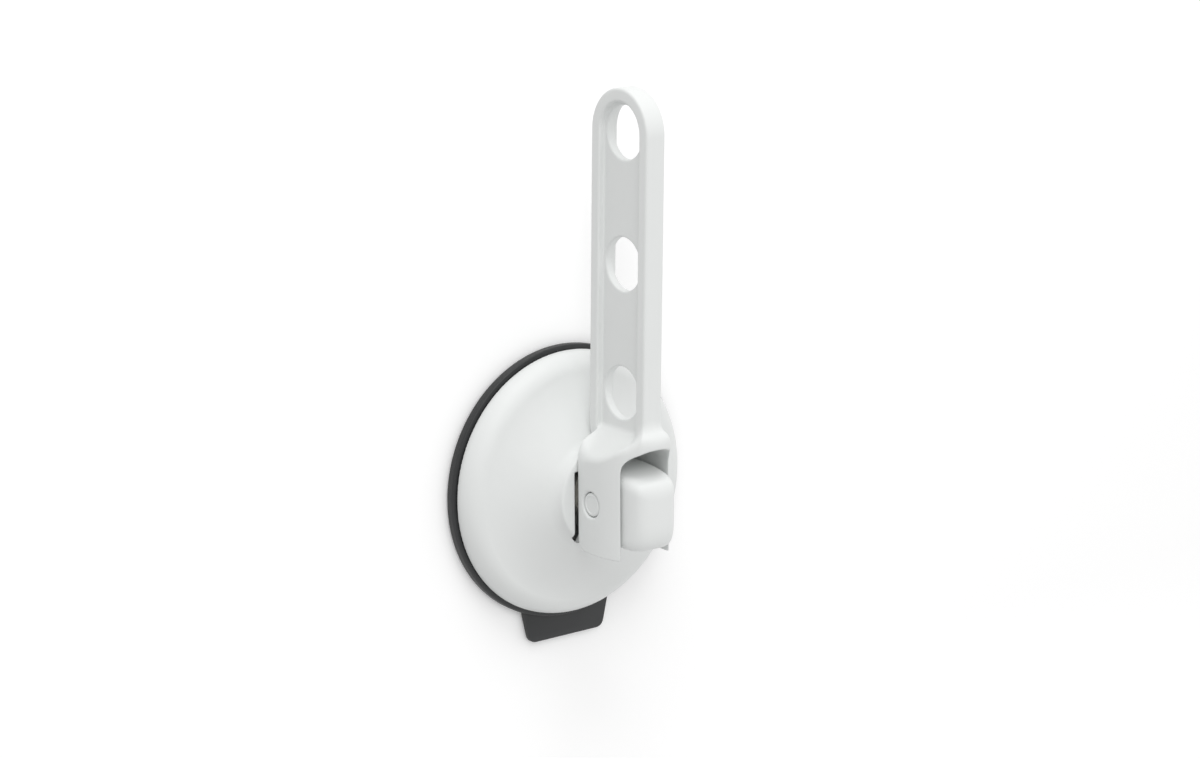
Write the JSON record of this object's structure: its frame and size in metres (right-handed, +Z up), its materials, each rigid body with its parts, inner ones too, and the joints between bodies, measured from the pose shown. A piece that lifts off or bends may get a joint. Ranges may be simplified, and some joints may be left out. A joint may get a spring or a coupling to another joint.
{
  "type": "lever suction mount with fold-down hanger arm",
  "caption": "Suction mount with a rubber pad, a bell-shaped cover and a fold-down lever arm with holes for hanger hooks.",
  "frame": {"origin": "centre of the suction pad's flat wall face, on the plunger's axis", "axes": "+Z up along the folded arm, +Y into the wall, +X to the right seen from the front"},
  "size_m": [0.1102, 0.064, 0.2241],
  "materials": {
    "white_plastic": "fine matte moulded texture",
    "inner_plastic": "plain moulded",
    "bearing_plastic": "smooth, low friction",
    "grey_rubber": "matte dark grey",
    "steel": "zinc plated",
    "spring_steel": "drawn wire"
  },
  "bodies": {
    "base": {"suction_pad": "grey_rubber", "cover": "white_plastic", "pressure_ring": "inner_plastic", "thrust_ring": "steel", "guide_bush": "bearing_plastic", "rod_seal": "grey_rubber", "spring_seat": "steel", "return_spring": "spring_steel", "cover_screw_1": "steel", "cover_screw_2": "steel", "cover_screw_3": "steel", "cover_screw_4": "steel"},
    "plunger": {"anchor_plate": "steel", "lock_nut": "steel", "plunger_rod": "steel", "eye_bush": "bearing_plastic"},
    "lever": {"lever_arm": "white_plastic", "pivot_pin": "white_plastic"},
    "button": {"release_button": "white_plastic", "button_spring": "spring_steel"}
  },
  "joints": [
    {"name": "plunger_slide", "type": "slide", "parent": "base", "child": "plunger", "axis": [0, -1, 0], "range_m": [0, 0.0071], "deforming": ["return_spring"]},
    {"name": "lever_pivot", "type": "hinge", "parent": "plunger", "child": "lever", "pos_m": [0, -0.0377, 0], "axis": [1, 0, 0], "range_deg": [0, 90]},
    {"name": "button_push", "type": "slide", "parent": "lever", "child": "button", "axis": [0, 1, 0], "range_m": [0, 0.003], "stiffness_N_per_m": 700, "deforming": ["button_spring"]}
  ],
  "couplings": [
    {"joint": "plunger_slide", "follows": "lever_pivot", "m_per_rad": 0.0044563}
  ]
}
